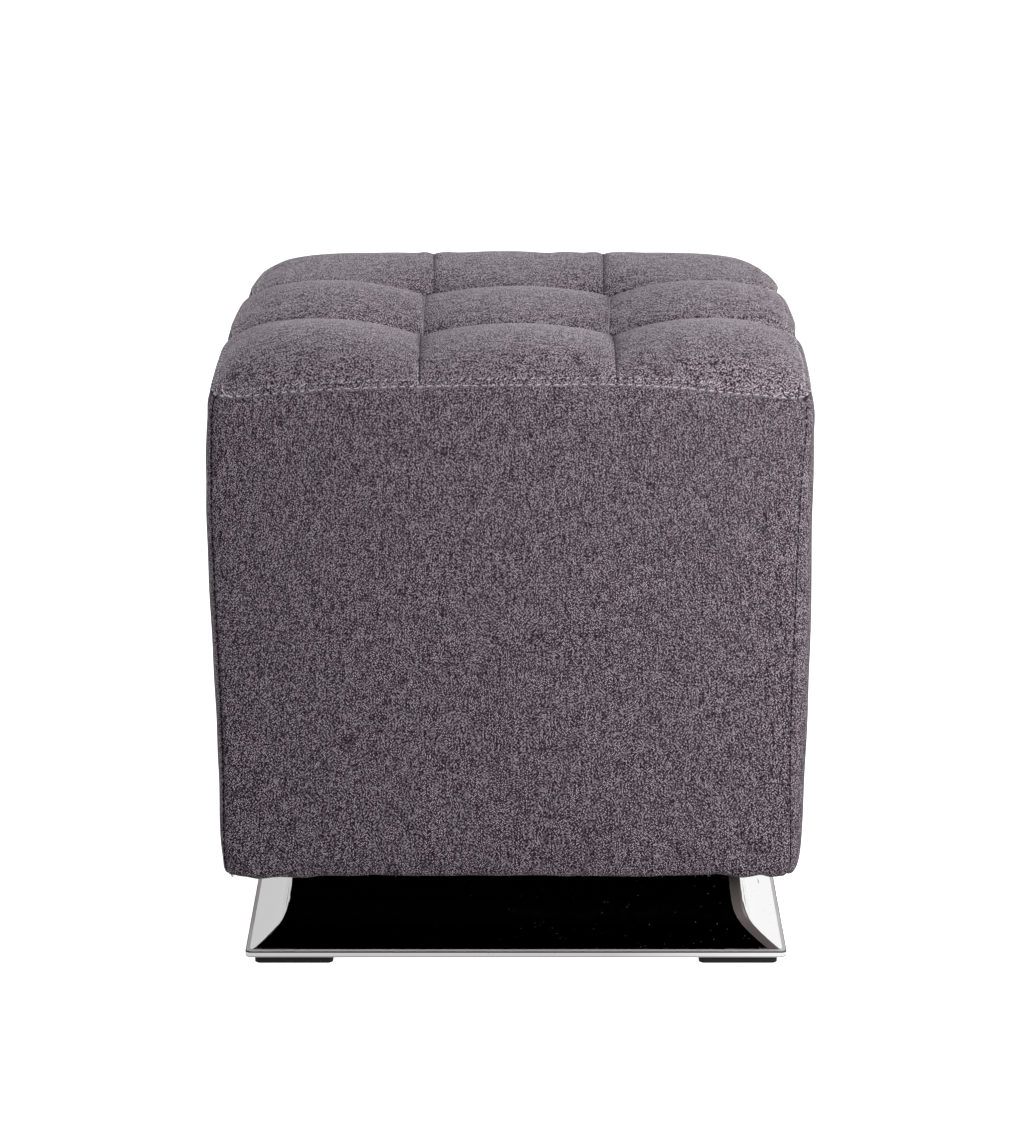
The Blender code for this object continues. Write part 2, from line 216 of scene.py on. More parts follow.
def mirror_board(name, low, high, material):
    """A box between two corners that shows in reflections alone."""
    low, high = Vector(low), Vector(high)
    bpy.ops.mesh.primitive_cube_add(size=1.0, location=(low + high) / 2.0, scale=high - low)
    bpy.ops.object.transform_apply(location=True, rotation=True, scale=True)
    board = bpy.context.object
    board.name = name
    board.data.materials.append(material)
    board.visible_camera = board.visible_diffuse = board.visible_shadow = False


bpy.ops.mesh.primitive_plane_add(size=FLOOR_SIZE, location=(0.0, 0.0, 0.0))
floor = bpy.context.object
floor.name = "floor"
floor.data.materials.append(floor_finish())
floor.visible_diffuse = floor.visible_glossy = False

world = bpy.data.worlds.new("white_room")
scene.world = world
world.use_nodes = True
background = world.node_tree.nodes["Background"]
background.inputs["Color"].default_value = (1.0, 1.0, 1.0, 1.0)
background.inputs["Strength"].default_value = ROOM_LIGHT

for light in LIGHTS:
    softbox(*light)

room_glow = glow_finish("room_glow", GREY_ROOM, WHITE_ROOM)
black_cloth = glow_finish("black_cloth", 0.0, 0.0)
for name, low, high, black in BOARDS:
    mirror_board(name, low, high, black_cloth if black else room_glow)

# ---------------------------------------------------------------- quilted top
# The seat: nine cells of woven polyester over filling, seamed along two channels each way and
# drawn down where the channels cross. It is swelled by a cloth simulation that its seams hold.

SNAP = 0.0022                # how near a grid line of the CAD's top lies to its channel
CHANNEL_X = (-0.0645, 0.0747)
CHANNEL_Y = (-0.0683, 0.0683)
SEAM_ROWS = (-0.210, -0.072, -0.064, 0.064, 0.072, 0.210)   # where each row of cells begins and ends
SEAM_PLACES = (
    # the front to back seams, from the front: each row of cells was sewn a little off the next
    (-0.0634, -0.0655, -0.0651, -0.0653, -0.0595, -0.0622),
    (0.0748, 0.0752, 0.0725, 0.0768, 0.0723, 0.0752),
)
SEAM_REACH = 0.032           # how far to the sides the cloth follows a seam that lies off
SEAM_WIDTH = 0.0012
SEAT_RIM = 0.4336            # the seat shows above this height
FULLER_RIGHT = 0.0020        # the right side of the seat bulges a little more than the left
FULL_FROM, FULL_OVER = 0.13, 0.06       # where that begins, and over what distance it grows
RIGHT_RIM, RIM_FADE = 0.4352, 0.004     # it dies out at the border
BACK_SEAM_LIFT = 0.0026      # the front to back seams are less deep in the back row
BACK_FROM, BACK_OVER = 0.075, 0.03
BACK_SEAM_REACH = 0.030
FRONT_BORDER = (
    # the front border seam, which was not sewn quite straight: across, height
    (-0.209, 0.4368), (-0.196, 0.4358), (-0.182, 0.4360), (-0.176, 0.4367), (-0.157, 0.4387),
    (-0.135, 0.4402), (-0.113, 0.4413), (-0.085, 0.4424), (-0.064, 0.4430), (-0.007, 0.4440),
    (0.063, 0.4446), (0.095, 0.4436), (0.125, 0.4417), (0.155, 0.4385), (0.184, 0.4361), (0.207, 0.4349),
)
BORDER_LEFT, BORDER_LENGTH = -0.2090, 0.4165    # the even curve of that seam, from left to right
BORDER_START, BORDER_FALL, BORDER_ARCH = 0.4390, 0.0040, 0.0082
BORDER_FRONT = -0.2070
BORDER_REACH = 0.022         # how far up and down the cloth follows the border seam
SWELL_STEPS = 20
SEAT_SWELL, SEAT_PRESSURE = 0.0012, 3.0
PINCH_DEPTH = 0.0013         # how sharply the stitching draws a channel down
PINCH_WIDTH = 0.0013
PUCKER_DEPTH, PUCKER_WIDTH = 0.00022, 0.006
PUCKERS = (0.0053, 0.0089, 0.0147, 0.0236)      # their lengths, along a seam
CHANNEL_STITCH = 0.0037      # from one stitch to the next
WARP_PITCH = 0.00070         # yarns that run up the sides, and from front to back over the seat
WEFT_PITCH = 0.00072
SEAT_WEFT_PITCH = 0.00105    # the weft lies more open where the filling stretches the cloth
TAUT_FROM = -0.130           # before this place it closes up again, towards the front border
CLOSING = 2600.0
CLOTH_DARK = (0.026, 0.011, 0.022, 1.0)         # the darkest and the lightest fibres
CLOTH_LIGHT = (0.830, 0.735, 0.815, 1.0)
FIBRE_CONTRAST = 2.2
MIDDLE_TONE = 0.29           # between the dark and the light fibres
YARN_TONE = 0.3              # how far the tone changes from yarn to yarn
BESIDE_TONE, ABOVE_TONE = 0.24, 0.21            # how far a crossing stands out from those around it
FLECK_TONE = 0.15
PATCH_TONE = 0.05
WARP_LIGHTER = 0.20          # than the weft
YARN_EDGE_SHADE = 0.2              # painted shade: how much darker a yarn's edges are painted, for the shade between yarns


def select_only(piece):
    bpy.ops.object.select_all(action="DESELECT")
    piece.select_set(True)
    bpy.context.view_layer.objects.active = piece


def points_of(piece):
    """The vertices of a mesh as an array."""
    points = np.zeros(len(piece.data.vertices) * 3)
    piece.data.vertices.foreach_get("co", points)
    return points.reshape(-1, 3)


def normals_of(piece):
    normals = np.zeros(len(piece.data.vertices) * 3)
    piece.data.vertex_normals.foreach_get("vector", normals)
    return normals.reshape(-1, 3)


def move_points(piece, points):
    piece.data.vertices.foreach_set("co", points.ravel())
    piece.data.update()


def mark_points(piece, name, values):
    """Keep a number at each vertex, which later subdivisions spread evenly."""
    attribute = piece.data.attributes.new(name, "FLOAT", "POINT")
    attribute.data.foreach_set("value", np.asarray(values, dtype=np.float32))


def marks_of(piece, name):
    values = np.zeros(len(piece.data.vertices), dtype=np.float32)
    piece.data.attributes[name].data.foreach_get("value", values)
    return values.astype(float)


def edge_ends(piece):
    ends = np.zeros(len(piece.data.edges) * 2, dtype=int)
    piece.data.edges.foreach_get("vertices", ends)
    return ends[0::2], ends[1::2]


def copy_of(node, name, shown):
    """A new piece with a CAD node's shape. Its loose triangles are joined into quads, and marks
    are left on what shows of it and on the rim of that, where it is sewn or turned under."""
    piece = bpy.data.objects.new(name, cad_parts[node].data.copy())
    scene.collection.objects.link(piece)
    piece.data.materials.clear()
    select_only(piece)
    bpy.ops.object.mode_set(mode="EDIT")
    bpy.ops.mesh.select_all(action="SELECT")
    bpy.ops.mesh.remove_doubles(threshold=1e-5)
    wide = math.radians(179.0)
    bpy.ops.mesh.tris_convert_to_quads(face_threshold=wide, shape_threshold=wide, topology_influence=2.0)
    bpy.ops.object.mode_set(mode="OBJECT")
    outer = shown(points_of(piece))
    first, second = edge_ends(piece)
    turned = outer[first] != outer[second]
    rim = np.zeros(len(outer), dtype=bool)
    rim[first[turned]] = rim[second[turned]] = True
    mark_points(piece, "outer", outer)
    mark_points(piece, "rim", rim & outer)
    return piece


def crease(piece, sharp_line):
    """Sharp folds that outlast subdivision: the rim, the hidden faces, and any other line."""
    first, second = edge_ends(piece)
    outer, rim = marks_of(piece, "outer"), marks_of(piece, "rim")
    points = points_of(piece)
    sharp = (rim[first] > 0.5) & (rim[second] > 0.5)
    sharp |= (outer[first] < 0.5) & (outer[second] < 0.5)
    shown = (outer[first] > 0.5) & (outer[second] > 0.5)
    sharp |= shown & sharp_line(points[first]) & sharp_line(points[second])
    creases = piece.data.attributes.new("crease_edge", "FLOAT", "EDGE")
    creases.data.foreach_set("value", sharp.astype(np.float32))


def subdivide(piece, levels):
    select_only(piece)
    modifier = piece.modifiers.new("subdivision", "SUBSURF")
    modifier.levels = modifier.render_levels = levels
    bpy.ops.object.modifier_apply(modifier=modifier.name)


def swell(piece, held, cap, pressure):
    """Fill a closed cloth piece by simulation. Seams hold some points, and none moves past the cap."""
    before = points_of(piece)
    group = piece.vertex_groups.new(name="held")
    group.add([int(index) for index in np.flatnonzero(held)], 1.0, "REPLACE")
    select_only(piece)
    modifier = piece.modifiers.new("filling", "CLOTH")
    cloth = modifier.settings
    cloth.quality = 6
    cloth.mass = 0.2
    cloth.tension_stiffness = cloth.compression_stiffness = 25.0
    cloth.shear_stiffness = 15.0
    cloth.bending_stiffness = 1.0
    cloth.use_pressure = True
    cloth.uniform_pressure_force = pressure
    cloth.vertex_group_mass = group.name
    cloth.effector_weights.gravity = 0.0
    cloth.shrink_min = -0.01
    modifier.point_cache.frame_start, modifier.point_cache.frame_end = 1, SWELL_STEPS
    for step in range(1, SWELL_STEPS + 1):
        scene.frame_set(step)
    bpy.ops.object.modifier_apply(modifier=modifier.name)
    scene.frame_set(1)
    moved = points_of(piece) - before
    length = np.linalg.norm(moved, axis=1, keepdims=True)
    move_points(piece, before + moved * np.minimum(1.0, cap / np.maximum(length, 1e-9)))
    piece.vertex_groups.clear()


def lay_weave(piece, across, up):
    """Unwrap the cloth, in metres, with the weft along one direction and the warp along another."""
    rim = marks_of(piece, "rim")
    first, second = edge_ends(piece)
    seams = (rim[first] > 0.5) & (rim[second] > 0.5)
    piece.data.edges.foreach_set("use_seam", seams)
    select_only(piece)
    bpy.ops.object.mode_set(mode="EDIT")
    bpy.ops.mesh.select_all(action="SELECT")
    bpy.ops.uv.unwrap(method="CONFORMAL", margin=0.01)
    bpy.ops.object.mode_set(mode="OBJECT")
    layer = piece.data.uv_layers[0]
    layer.name = "weave"
    flat = np.zeros(len(layer.uv) * 2)
    layer.uv.foreach_get("vector", flat)
    flat = flat.reshape(-1, 2)
    corners = np.zeros(len(piece.data.loops), dtype=int)
    piece.data.loops.foreach_get("vertex_index", corners)
    outer = marks_of(piece, "outer")[corners] > 0.999
    points = points_of(piece)[corners]
    target = np.stack((points @ np.array(across), points @ np.array(up)), axis=1)
    middle = flat[outer].mean(0)
    spread, goal = flat[outer] - middle, target[outer] - target[outer].mean(0)
    turn, _, back = np.linalg.svd(spread.T @ goal)
    turned = (flat - middle) @ (turn @ back)
    area = uv_area = 0.0
    for face in piece.data.polygons:
        if outer[face.loop_start]:
            ring = turned[face.loop_start:face.loop_start + face.loop_total]
            following = np.roll(ring, -1, axis=0)
            uv_area += abs(float((ring[:, 0] * following[:, 1] - ring[:, 1] * following[:, 0]).sum())) / 2.0
            area += face.area
    layer.uv.foreach_set("vector", (turned * math.sqrt(area / uv_area)).ravel())


def near(distance, reach):
    """1 on a line, falling to 0 beyond its reach."""
    return np.exp(-((distance / reach) ** 2))


def ripple(along, seed):
    """An uneven run of small puckers, about -1 to 1, by distance along a seam."""
    total = np.zeros_like(along)
    for turn, length in enumerate(PUCKERS):
        total += np.sin(2.0 * math.pi * along / length + seed * 1.7 + turn * 2.3)
    return total / len(PUCKERS)


def seam_x(seam, y):
    """Where a front to back seam lies, at some distance from the middle."""
    return np.interp(y, SEAM_ROWS, SEAM_PLACES[seam])


def border_lift(points):
    """How far the front border seam lies above or below its even curve, felt near the seam."""
    across, height = zip(*FRONT_BORDER)
    share = (points[:, 0] - BORDER_LEFT) / BORDER_LENGTH
    even = BORDER_START - BORDER_FALL * share + BORDER_ARCH * 4.0 * share * (1.0 - share)
    lift = np.interp(points[:, 0], across, height) - even
    return lift * near(points[:, 2] - even, BORDER_REACH) * near(points[:, 1] - BORDER_FRONT, BORDER_REACH)


def on_channel(points):
    """Points on the seams of the top."""
    found = np.zeros(len(points), dtype=bool)
    for seam in range(2):
        found |= np.abs(points[:, 0] - seam_x(seam, points[:, 1])) < SEAM_WIDTH
        found |= np.abs(points[:, 1] - CHANNEL_Y[seam]) < SNAP
    return found


seat = copy_of("quilted_top", "seat", lambda points: points[:, 2] > SEAT_RIM)
points = points_of(seat)
shown = marks_of(seat, "outer")
above_rim = 1.0 - np.exp(-((points[:, 2] - RIGHT_RIM) / RIM_FADE).clip(0.0))
at_right = ((points[:, 0] - FULL_FROM) / FULL_OVER).clip(0.0, 1.0)
points[:, 0] += FULLER_RIGHT * at_right * above_rim * shown
for seam, channel in enumerate(CHANNEL_X):
    offset = seam_x(seam, points[:, 1]) - channel
    points[:, 0] = np.where(np.abs(points[:, 0] - channel) < SNAP, channel, points[:, 0])
    points[:, 0] += offset * near(points[:, 0] - channel, SEAM_REACH) * shown
points[:, 2] += border_lift(points)
at_back = ((points[:, 1] - BACK_FROM) / BACK_OVER).clip(0.0, 1.0) * (marks_of(seat, "rim") < 0.5) * shown
for channel in CHANNEL_X:
    points[:, 2] += BACK_SEAM_LIFT * at_back * near(points[:, 0] - channel, BACK_SEAM_REACH)
move_points(seat, points)
crease(seat, on_channel)
subdivide(seat, 1)
held = on_channel(points_of(seat)) | (marks_of(seat, "outer") < 0.999) | (marks_of(seat, "rim") > 0.999)
swell(seat, held, cap=SEAT_SWELL, pressure=SEAT_PRESSURE)
lay_weave(seat, (1.0, 0.0, 0.0), (0.0, 1.0, 0.0))
subdivide(seat, 2)

points = points_of(seat)
outer = marks_of(seat, "outer") > 0.999
drop = np.zeros(len(points))
for seam in range(2):
    for gap, along in (
        (np.abs(points[:, 0] - seam_x(seam, points[:, 1])), points[:, 1]),
        (np.abs(points[:, 1] - CHANNEL_Y[seam]), points[:, 0]),
    ):
        stitch = 0.5 + 0.5 * np.cos(2.0 * math.pi * along / CHANNEL_STITCH)
        drop += PINCH_DEPTH * np.exp(-gap / PINCH_WIDTH) * (0.8 + 0.2 * stitch)
        drop += PUCKER_DEPTH * ripple(along, seam) * np.exp(-gap / PUCKER_WIDTH)
points[:, 2] -= drop * outer
move_points(seat, points)

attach(seat, "root")
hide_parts("quilted_top")


def cloth_finish(name, weft_pitch, closing, grain, warp_streaks, weft_streaks):
    """Plain weave of melange yarn. Its tone changes from yarn to yarn, along each yarn and at each
    place where two yarns cross, and some yarns have thick, pale runs. Each yarn's edges are painted
    darker: painted shade in the gaps between yarns."""
    finish = Finish(name, {
        "Roughness": 0.90, "Specular IOR Level": 0.15,
        "Sheen Weight": 0.36, "Sheen Roughness": 0.4, "Sheen Tint": (0.92, 0.85, 0.90, 1.0),
    })
    weave = finish.node("ShaderNodeTexCoord", {}, {}, output=2)
    across = finish.part(weave, 0) * (1.0 / WARP_PITCH)
    upward = finish.part(weave, 1)
    before = (TAUT_FROM - upward).math("MAXIMUM", 0.0)
    along = upward * (1.0 / weft_pitch) - before * before * closing
    warp, weft = across.math("FLOOR"), along.math("FLOOR")
    over = ((warp + weft) * 0.5).math("FRACT") * 2.0

    warp_tone = finish.noise(finish.point(warp * 7.31, along * 0.16, 0.0), 1.0, 2.0, 0.6) - 0.5
    weft_tone = finish.noise(finish.point(across * 0.12, weft * 5.17, 9.0), 1.0, 2.0, 0.6) - 0.5
    slub = finish.noise(finish.point(warp * 0.83, along * 0.045, 4.0), 1.0, 1.0, 0.5) - 0.5
    streak = finish.noise(finish.point(across * 0.055, weft * 0.31, 7.0), 1.0, 1.0, 0.5) - 0.5
    tone = warp_tone * over + weft_tone * (1.0 - over)

    def crossing(right, up):
        """A random tone for each place where two yarns cross."""
        spot = finish.point(warp + right, weft + up, 0.0)
        return finish.node("ShaderNodeTexWhiteNoise", {"noise_dimensions": "3D"}, {0: spot})

    # each crossing stands out from the four beside it
    speck = crossing(0.0, 0.0)
    beside = crossing(1.0, 0.0) + crossing(-1.0, 0.0)
    above = crossing(0.0, 1.0) + crossing(0.0, -1.0)
    fleck = speck ** 5.0
    speck = speck - beside * BESIDE_TONE - above * ABOVE_TONE

    patch = finish.noise(finish.place(), 55.0, 3.0, 0.6) - 0.5
    middle_across = (across.math("FRACT") - 0.5).math("ABSOLUTE")
    middle_along = (along.math("FRACT") - 0.5).math("ABSOLUTE")
    rounding = middle_across.math("MAXIMUM", middle_along)
    level = tone * YARN_TONE + speck * grain + fleck * FLECK_TONE
    level = level + slub * warp_streaks + streak * weft_streaks
    # painted shade: each yarn is painted darker towards its edges
    level = level + patch * PATCH_TONE + over * WARP_LIGHTER - rounding * YARN_EDGE_SHADE
    level = level + MIDDLE_TONE - 0.11 * grain
    level = level.math("MAXIMUM", 0.0).math("MINIMUM", 1.3)
    finish.set("Base Color", finish.mix(level ** FIBRE_CONTRAST, CLOTH_DARK, CLOTH_LIGHT))
    finish.bump(over - rounding, 0.00012, 0.4)
    return finish.material


seat.data.materials.append(
    cloth_finish("seat_cloth", SEAT_WEFT_PITCH, CLOSING, grain=2.2, warp_streaks=0.3, weft_streaks=1.4))

# ---------------------------------------------------------------- padded sides
# Four panels of the same cloth over foam. Each wraps round to an upright seam, is sewn to the
# top along the border, and is turned under at the hem.

SIDES = ("front", "right", "back", "left")
OUTWARD = {"front": (0.0, -1.0), "right": (1.0, 0.0), "back": (0.0, 1.0), "left": (-1.0, 0.0)}
HEM = (
    # the front hem hangs unevenly: across, how far below its even line
    (-0.209, 0.0), (-0.204, 0.0004), (-0.198, 0.0002), (-0.192, 0.0016), (-0.186, 0.0026),
    (-0.181, 0.0023), (-0.175, 0.0016), (-0.169, 0.0013), (-0.160, 0.0018), (-0.151, 0.0014),
    (-0.145, 0.0009), (-0.139, 0.0003), (-0.122, 0.0004), (-0.101, -0.0005), (-0.069, 0.0003),
    (-0.022, -0.0004), (-0.002, 0.0001), (0.019, -0.0006), (0.042, 0.0005), (0.051, -0.0002),
    (0.072, 0.0005), (0.101, 0.0007), (0.119, 0.0), (0.139, -0.0010), (0.154, -0.0011),
    (0.160, 0.0002), (0.168, 0.0015), (0.171, 0.0018), (0.177, 0.0013), (0.183, 0.0),
    (0.190, 0.0013), (0.195, 0.0012), (0.201, 0.0004), (0.207, 0.0),
)
RIGHT_SEAM = (
    # the front right seam, which wanders: height, how far to the side
    (0.084, 0.0), (0.110, -0.0018), (0.132, -0.0030), (0.156, -0.0038), (0.230, -0.0034), (0.276, -0.0028),
    (0.310, -0.0020), (0.350, -0.0006), (0.380, 0.0),
)
SEAM_LINE, SEAM_LINE_REACH = 0.2055, 0.0075     # where that seam would lie, and what follows it
SEAM_FRONT, SEAM_TURN = -0.195, 0.006           # it wanders on the front alone
HEM_HEIGHT = 0.0720
HEM_REACH = 0.0120
INNER_SKIN = 0.0008          # no more of a side's inner face is hidden than this
SIDE_SWELL, SIDE_PRESSURE = 0.0006, 1.5
SEAM_PINCH = 0.0006          # how far stitching draws the cloth in beside a seam
BORDER_PINCH = 0.0003        # and beside the border seam, which lies flatter
SEAM_PINCH_REACH = 0.0014
BORDER_FROM = 0.4300         # a side's rim above this height is the border seam
BORDER_STITCH = 0.0064       # from one stitch to the next
FRONT_FACE = -0.19
FOLD_DEPTH = 0.00050         # slanting folds under the left end of the front border seam
FOLD_PLACE = (-0.155, 0.431)
FOLD_REACH = (0.055, 0.007)
FOLD_LEAN = 0.6


def hem_drop(points, side):
    """How far the hem hangs down, felt just above it. The hidden hems are as uneven as the front's."""
    across, drop = zip(*HEM)
    along = {"front": points[:, 0], "back": -points[:, 0], "right": points[:, 1], "left": -points[:, 1]}[side]
    return np.interp(along, across, drop) * np.exp(-((points[:, 2] - HEM_HEIGHT) / HEM_REACH).clip(0.0))


def distance_to(points, line):
    """How far each point lies from the nearest point of a line."""
    tree = KDTree(len(line))
    for index, place in enumerate(line):
        tree.insert(place, index)
    tree.balance()
    return np.array([tree.find(place)[2] for place in points])


def pinch(piece, line, depth, reach):
    """Draw the cloth in beside a line of stitching."""
    points = points_of(piece)
    low, high = line.min(0) - 6.0 * reach, line.max(0) + 6.0 * reach
    close = ((points > low) & (points < high)).all(1) & (marks_of(piece, "outer") > 0.5)
    gap = distance_to(points[close], line)
    points[close] -= normals_of(piece)[close] * (depth * np.exp(-gap / reach))[:, None]
    move_points(piece, points)


def rim_of(piece, low, high):
    """The points of a piece's rim between two heights."""
    points = points_of(piece)
    rim = marks_of(piece, "rim") > 0.999
    return points[rim & (points[:, 2] > low) & (points[:, 2] < high)]


def inner_face(side):
    """How far a side's inner face is from the middle."""
    low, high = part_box(side + "_panel")
    direction = OUTWARD[side]
    return min(abs(corner[0] * direction[0] + corner[1] * direction[1]) for corner in (low, high))


def seam_drift(points):
    """How far to the side the front right seam runs off its line, felt beside it on the front."""
    height, drift = zip(*RIGHT_SEAM)
    on_front = ((SEAM_FRONT - points[:, 1]) / SEAM_TURN).clip(0.0, 1.0)
    return np.interp(points[:, 2], height, drift) * near(points[:, 0] - SEAM_LINE, SEAM_LINE_REACH) * on_front


def side_panel(side):
    """One side, from its CAD panel, with the pull of its seams."""
    outward = np.array((*OUTWARD[side], 0.0))
    across = (-outward[1], outward[0], 0.0)
    inner = inner_face(side) + INNER_SKIN
    piece = copy_of(side + "_panel", side + "_side", lambda points: points @ outward > inner)
    points = points_of(piece)
    points[:, 2] += border_lift(points)
    points[:, 0] += seam_drift(points)
    move_points(piece, points)
    crease(piece, lambda points: np.zeros(len(points), dtype=bool))
    subdivide(piece, 1)
    held = (marks_of(piece, "outer") < 0.999) | (marks_of(piece, "rim") > 0.999)
    swell(piece, held, cap=SIDE_SWELL, pressure=SIDE_PRESSURE)
    lay_weave(piece, across, (0.0, 0.0, 1.0))
    subdivide(piece, 2)
    points = points_of(piece)
    points[:, 2] -= hem_drop(points, side)
    if side == "front":
        low = near(points[:, 2] - FOLD_PLACE[1], FOLD_REACH[1])
        folded = low * near(points[:, 0] - FOLD_PLACE[0], FOLD_REACH[0]) * (points[:, 1] < FRONT_FACE)
        slant = (points[:, 0] - FOLD_LEAN * points[:, 2]) * math.tau / BORDER_STITCH
        points[:, 1] -= FOLD_DEPTH * folded * np.sin(slant)
    move_points(piece, points)
    pinch(piece, rim_of(piece, 0.0, BORDER_FROM), SEAM_PINCH, SEAM_PINCH_REACH)
    pinch(piece, rim_of(piece, BORDER_FROM, 1.0), BORDER_PINCH, SEAM_PINCH_REACH)
    piece.data.shade_smooth()
    piece.data.materials.append(cloth)
    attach(piece, "root")
    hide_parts(side + "_panel")
    return piece


cloth = cloth_finish("side_cloth", WEFT_PITCH, 0.0, grain=1.25, warp_streaks=0.95, weft_streaks=0.3)
panels = {side: side_panel(side) for side in SIDES}
pinch(seat, rim_of(seat, 0.0, 1.0), BORDER_PINCH, SEAM_PINCH_REACH)
seat.data.shade_smooth()

# ---------------------------------------------------------------- sewing
# Polyester thread. Two rows of light topstitching run round the border of the seat. The upright
# seams show as dark gaps between stitches, and the quilting as dark joins that stitches bridge.
# The dark gaps, joins and needle holes are near-black pieces laid in the seams: painted shade.
# The light thread along the middle row's quilting is also a painted highlight on each seam's lip.

UPPER_ROW = (
    # across the front, how far the upper row of topstitching is above the lower one
    (-0.205, 0.0046), (-0.150, 0.0052), (-0.050, 0.0056), (0.080, 0.0060), (0.205, 0.0068),
)
LOWER_ROW = 0.0009           # the lower row, above the border seam
HOLE_SHADE_BELOW = 0.0008         # the painted shade of the needle holes, below the upper row
THREAD = 0.00046             # its radius
SWAY = 7.0                   # degrees that a stitch may lie askew
UNEVEN = (0.85, 1.1)         # shortest and longest stitch, as shares of the usual one
JOIN = 0.00005               # how deep the near-black pieces lie that are painted shade in a seam's gap
JOIN_PITCH, JOIN_LENGTH = 0.0009, 0.0014
LINE_STEP = 0.002            # between the points of a seam's line
BORDER_SIDE, BORDER_CORNER = 0.185, -0.203      # the border's sides lie outside and behind these
CORNER_THREAD = (
    # the end of the topstitching, knotted at the left front corner
    (-0.2015, -0.200, 0.4465), (-0.2022, -0.202, 0.4437),
    (-0.1987, -0.207, 0.4409), (-0.1945, -0.208, 0.4402),
)
CORNERS = (("front", "right"), ("right", "back"), ("back", "left"), ("left", "front"))
CORNER_FROM = 0.28           # how far out, along a corner's diagonal, the sides' upright ends lie
UPRIGHT_RIM = (HEM_HEIGHT + 0.010, 0.4330)
UPRIGHT_RUN = (HEM_HEIGHT + 0.012, 0.4320)
UPRIGHT_PITCH = 0.0059
QUILTING_RUNS = ((-0.199, -0.070), (-0.066, 0.066), (0.070, 0.200))     # front to back, row by row
CROSS_RUN = (-0.198, 0.200)
ABOVE_SEAT = 0.6
LIP_HIGHLIGHT_ASIDE = 0.0006        # how far left of its seam the light thread lies, in the middle row, as a painted highlight on the seam's lip
FIBRES = 70                  # loose ends that hang from the front hem
FIBRE = 0.00009              # their radius
FIBRE_LENGTH = (0.0008, 0.0024)
HEM_EDGE = 0.004             # how far up from the even hem they may start
LOOSE_END = (0.18080, -0.2085, 0.0728)          # one longer end of thread
LOOSE_END_HANG = (0.0014, 0.0, -0.0042)
ONE_STITCH = 0.01            # a pitch longer than any of these, so that each is a single stitch


def stitch_shape():
    """One stitch, lying along X: a thread one unit thick and two long, that dives at both ends."""
    across = (0.0, math.pi / 2.0, 0.0)
    bpy.ops.mesh.primitive_uv_sphere_add(segments=6, ring_count=6, radius=1.0, rotation=across)
    ball = bpy.context.object
    bpy.ops.object.transform_apply(location=True, rotation=True, scale=True)
    points = points_of(ball)
    faces = [tuple(face.vertices) for face in ball.data.polygons]
    bpy.data.objects.remove(ball, do_unlink=True)
    return points, faces


STITCH_POINTS, STITCH_FACES = stitch_shape()


def cloth_surface(piece):
    """The finished cloth, as a surface on which places can be found."""
    points = [tuple(place) for place in points_of(piece)]
    return BVHTree.FromPolygons(points, [tuple(face.vertices) for face in piece.data.polygons])


def evenly(line, pitch, closed=False):
    """Points at an even pitch along a line, and the line's direction at each."""
    line = np.asarray(line, dtype=float)
    if closed:
        line = np.vstack((line, line[:1]))
    run = np.r_[0.0, np.cumsum(np.linalg.norm(np.diff(line, axis=0), axis=1))]
    count = max(int(round(run[-1] / pitch)), 1)
    places = (np.arange(count) + 0.5) * run[-1] / count

    def at(places):
        places = places % run[-1] if closed else places.clip(0.0, run[-1])
        return np.stack([np.interp(places, run, line[:, axis]) for axis in range(3)], axis=1)

    ahead = at(places + 0.3 * pitch) - at(places - 0.3 * pitch)
    return at(places), ahead / np.linalg.norm(ahead, axis=1, keepdims=True)


def climb(surface, line, distance):
    """A line moved over the cloth, up and away from its seam."""
    steps = 8
    ahead = np.roll(line, -1, axis=0) - np.roll(line, 1, axis=0)
    ahead /= np.linalg.norm(ahead, axis=1, keepdims=True)
    moved = []
    for place, direction, length in zip(line, ahead, np.broadcast_to(distance, len(line))):
        here = Vector(place)
        for step in range(steps):
            spot, normal, _, _ = surface.find_nearest(here)
            upward = normal.cross(Vector(direction))
            if upward.z < 0.0:
                upward.negate()
            here = surface.find_nearest(spot + upward.normalized() * (length / steps))[0]
        moved.append(here)
    return np.array(moved)


def row(line, pitch, length, radius, lean=0.0, depth=0.0, closed=False):
    """A row of stitches: its line, the pitch, a stitch's length and radius, its turn away from the
    line in degrees, how deep it lies in the cloth, and whether the line is closed."""
    return line, pitch, length, radius, lean, depth, closed


def sew(name, surface, rows, material):
    """Rows of stitches laid on the cloth as one piece. With no surface they lie on their own line."""
    points, faces = [], []
    random = np.random.default_rng(7)
    for line, pitch, length, radius, lean, depth, closed in rows:
        places, along = evenly(line, pitch, closed)
        for place, direction in zip(places, along):
            spot, up = place, np.array((place[0], place[1], 0.0)) / math.hypot(place[0], place[1])
            if surface:
                spot, normal, _, _ = surface.find_nearest(Vector(place))
                up = np.array(normal)
            ahead = direction - up * (direction @ up)
            ahead /= np.linalg.norm(ahead)
            beside = np.cross(up, ahead)
            turn = math.radians(lean + random.uniform(-SWAY, SWAY))
            axis = ahead * math.cos(turn) + beside * math.sin(turn)
            beside = np.cross(up, axis)
            size = length * random.uniform(*UNEVEN) / 2.0
            start = len(points)
            centre = np.array(spot) - up * depth
            for x, y, z in STITCH_POINTS:
                points.append(centre + axis * (x * size) + (beside * y + up * z) * radius)
            faces.extend(tuple(start + index for index in face) for face in STITCH_FACES)
    mesh = bpy.data.meshes.new(name)
    mesh.from_pydata([tuple(point) for point in points], [], faces)
    piece = bpy.data.objects.new(name, mesh)
    scene.collection.objects.link(piece)
    mesh.shade_smooth()
    mesh.materials.append(material)
    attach(piece, "root")


